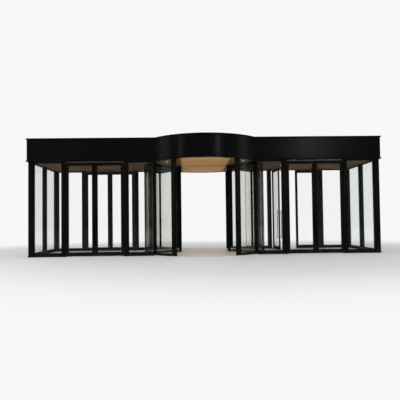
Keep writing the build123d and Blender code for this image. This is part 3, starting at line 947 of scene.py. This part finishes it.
def makeRoof():
    r = roof
    top = door["roofTop"]
    upTop = top + r["upstandHigh"]
    laps = bmesh.new()
    x = r["lapStart"]
    while x < -r["lapStart"] + r["lapHalf"]:
        if abs(x) > r["hatchClear"]:
            half = r["reachY"] if abs(x) > r["lapBulgeX"] else math.sqrt(r["lapRadius"] ** 2 - x ** 2)
            addBox(laps, (x - r["lapHalf"], -half, top), (x + r["lapHalf"], half, top + r["lapHigh"]))
        x += r["lapStep"]
    for side in (-1, 1):
        addBox(laps, (side * r["reachX"], -r["reachY"], top),
               (side * (r["reachX"] - r["upstandThick"]), r["reachY"], upTop))
        for way in (-1, 1):
            addBox(laps, (side * r["bulgeX"], way * r["reachY"], top),
                   (side * r["reachX"], way * (r["reachY"] - r["upstandThick"]), upTop))
    for middle in (0.0, 180.0):
        addArc(laps, r["bulge"] - r["upstandThick"], r["bulge"], middle - r["bulgeTurn"],
               middle + r["bulgeTurn"], top, upTop)
    bevelEdges(laps, r["bevel"], 1)
    makePiece("roof_laps", laps, "frame", "roof")
    h = hatch
    lid = top + h["high"]
    bm = bmesh.new()
    addBox(bm, (-h["half"], -h["half"], top), (h["half"], h["half"], lid))
    addBox(bm, (-h["lidHalf"], -h["lidHalf"], lid - h["lidLap"]),
           (h["lidHalf"], h["lidHalf"], lid + h["lidHigh"]))
    bevelEdges(bm, h["bevel"], 2)
    for side in (-1, 1):
        addRod(bm, (side * h["hingeX"], -h["lidHalf"], lid + h["hingeHigh"]), h["hingeRadius"],
               h["hingeLong"], "x", 12)
    makePiece("roof_hatch", bm, "frame", "grey")
    o = outlet
    flange = top + o["high"] / 2
    bm = bmesh.new()
    for x, y in o["places"]:
        addRod(bm, (x, y, flange), o["radius"], o["high"], sides=32)
        squash = Matrix.Diagonal((1.0, 1.0, o["domeSquash"], 1.0))
        dome = bmesh.ops.create_uvsphere(bm, u_segments=16, v_segments=8, radius=o["dome"],
                                         matrix=Matrix.Translation((x, y, top + o["domeRise"]))
                                         @ squash)["verts"]
        bmesh.ops.delete(bm, geom=[v for v in dome if v.co.z < flange], context="VERTS")
        rim = [e for e in bm.edges if len(e.link_faces) == 1]
        bmesh.ops.contextual_create(bm, geom=rim)
    makePiece("roof_outlets", bm, "frame", "darkSteel")
    print("roof finished")


makeRoof()

# Stage, light and camera
studio = {"floorSize": 120.0, "floorDrop": 0.001, "floor": rgb(0.83, 0.83, 0.835),
          "floorSecond": rgb(0.85, 0.85, 0.855), "sky": rgb(0.93, 0.935, 0.94),
          "fill": rgb(0.80, 0.81, 0.83), "fillStrength": 0.62, "fadeStart": 8.5, "fadeEnd": 16.0,
          "fadeDepth": 1.6}


def makeStage():
    # A pale floor that turns into the backdrop's own colour far from the door
    bm = bmesh.new()
    bmesh.ops.create_grid(bm, x_segments=1, y_segments=1, size=studio["floorSize"] / 2,
                          matrix=Matrix.Translation((0, 0, -studio["floorDrop"])))
    mesh = bpy.data.meshes.new("paleFloor")
    bm.to_mesh(mesh)
    bm.free()
    floor = bpy.data.objects.new("paleFloor", mesh)
    scene.collection.objects.link(floor)
    material, kit = newFinish("paleFloor")
    x, y, z = kit.split(kit.place())
    far = (x * x + y * y * studio["fadeDepth"]) ** 0.5
    colour = kit.mix(kit.noise(kit.place(), 30.0, 3.0), studio["floor"], studio["floorSecond"])
    near = kit.principled(colour, 0.75)
    distant = kit.node("ShaderNodeEmission", None, {"Color": studio["sky"], "Strength": 1.0})
    rays = kit.node("ShaderNodeLightPath").socket.node.outputs
    seen = Socket(kit, rays["Is Camera Ray"]).most(Socket(kit, rays["Is Glossy Ray"]))
    seen = seen.most(Socket(kit, rays["Is Transmission Ray"]))
    share = far.fade(studio["fadeStart"], studio["fadeEnd"]) * seen
    mesh.materials.append(show(material, kit, kit.blend(share, near, distant)))


def makeWorld():
    world = bpy.data.worlds.new("softSky")
    scene.world = world
    world.use_nodes = True
    kit = Kit(world.node_tree)
    rays = kit.node("ShaderNodeLightPath").socket.node.outputs
    seen = Socket(kit, rays["Is Camera Ray"]).most(Socket(kit, rays["Is Transmission Ray"]))
    fill = kit.node("ShaderNodeBackground", None,
                    {"Color": studio["fill"], "Strength": studio["fillStrength"]})
    shown = kit.node("ShaderNodeBackground", None, {"Color": studio["sky"], "Strength": 1.0})
    kit.node("ShaderNodeOutputWorld", None, {"Surface": kit.blend(seen, fill, shown)})


# Each lamp's place, what it looks at, its width and height, its power, and whether it shows in reflections
lamps = {
    "key": ((-11.0, -15.0, 11.0), (0.0, 0.0, 2.0), (8.0, 6.0), 1300.0, False),
    "fill": ((7.5, -16.0, 7.0), (0.0, 0.0, 2.0), (5.0, 6.0), 250.0, False),
    "leftSide": ((-16.0, -5.0, 6.0), (0.0, 0.0, 2.5), (6.0, 9.0), 260.0, True),
    "rightSide": ((16.0, -6.0, 6.0), (0.0, 0.0, 2.5), (6.0, 9.0), 260.0, True),
    "rightBand": ((10.7, -25.3, 8.6), (0.0, 0.0, 4.0), (2.0, 3.0), 320.0, True),
    "leftBand": ((-19.0, -20.9, 8.8), (0.0, 0.0, 4.0), (2.0, 3.5), 180.0, True),
    "rear": ((4.0, 15.0, 9.0), (0.0, 0.0, 2.5), (10.0, 5.0), 850.0, False),
}


def addLamp(name, place, target, size, power, mirrored):
    data = bpy.data.lights.new(name, "AREA")
    data.shape = "RECTANGLE"
    data.size, data.size_y = size
    data.energy = power
    lamp = bpy.data.objects.new(name, data)
    lamp.location = place
    lamp.rotation_euler = (Vector(target) - Vector(place)).to_track_quat("-Z", "Y").to_euler()
    lamp.visible_glossy = mirrored
    scene.collection.objects.link(lamp)


makeStage()
makeWorld()
for lampName, lampRow in lamps.items():
    addLamp(lampName, *lampRow)

cameraView = {"place": (-0.568, -17.694, 1.251), "yaw": 0.02208, "pitch": 0.03064, "roll": 0.01209,
              "focalPixels": 429.74, "framePixels": 400.0, "sensor": 36.0, "shiftY": 0.02125}


def makeCamera():
    data = bpy.data.cameras.new("photoCamera")
    data.sensor_width = cameraView["sensor"]
    data.lens = cameraView["focalPixels"] / cameraView["framePixels"] * cameraView["sensor"]
    data.shift_y = cameraView["shiftY"]
    data.clip_end = 300.0
    camera = bpy.data.objects.new("photoCamera", data)
    turn = (Matrix.Rotation(-cameraView["yaw"], 4, "Z")
            @ Matrix.Rotation(math.pi / 2 + cameraView["pitch"], 4, "X")
            @ Matrix.Rotation(-cameraView["roll"], 4, "Z"))
    camera.matrix_world = Matrix.Translation(cameraView["place"]) @ turn
    scene.collection.objects.link(camera)
    bpy.context.scene.camera = camera


makeCamera()
print("stage, light and camera set")
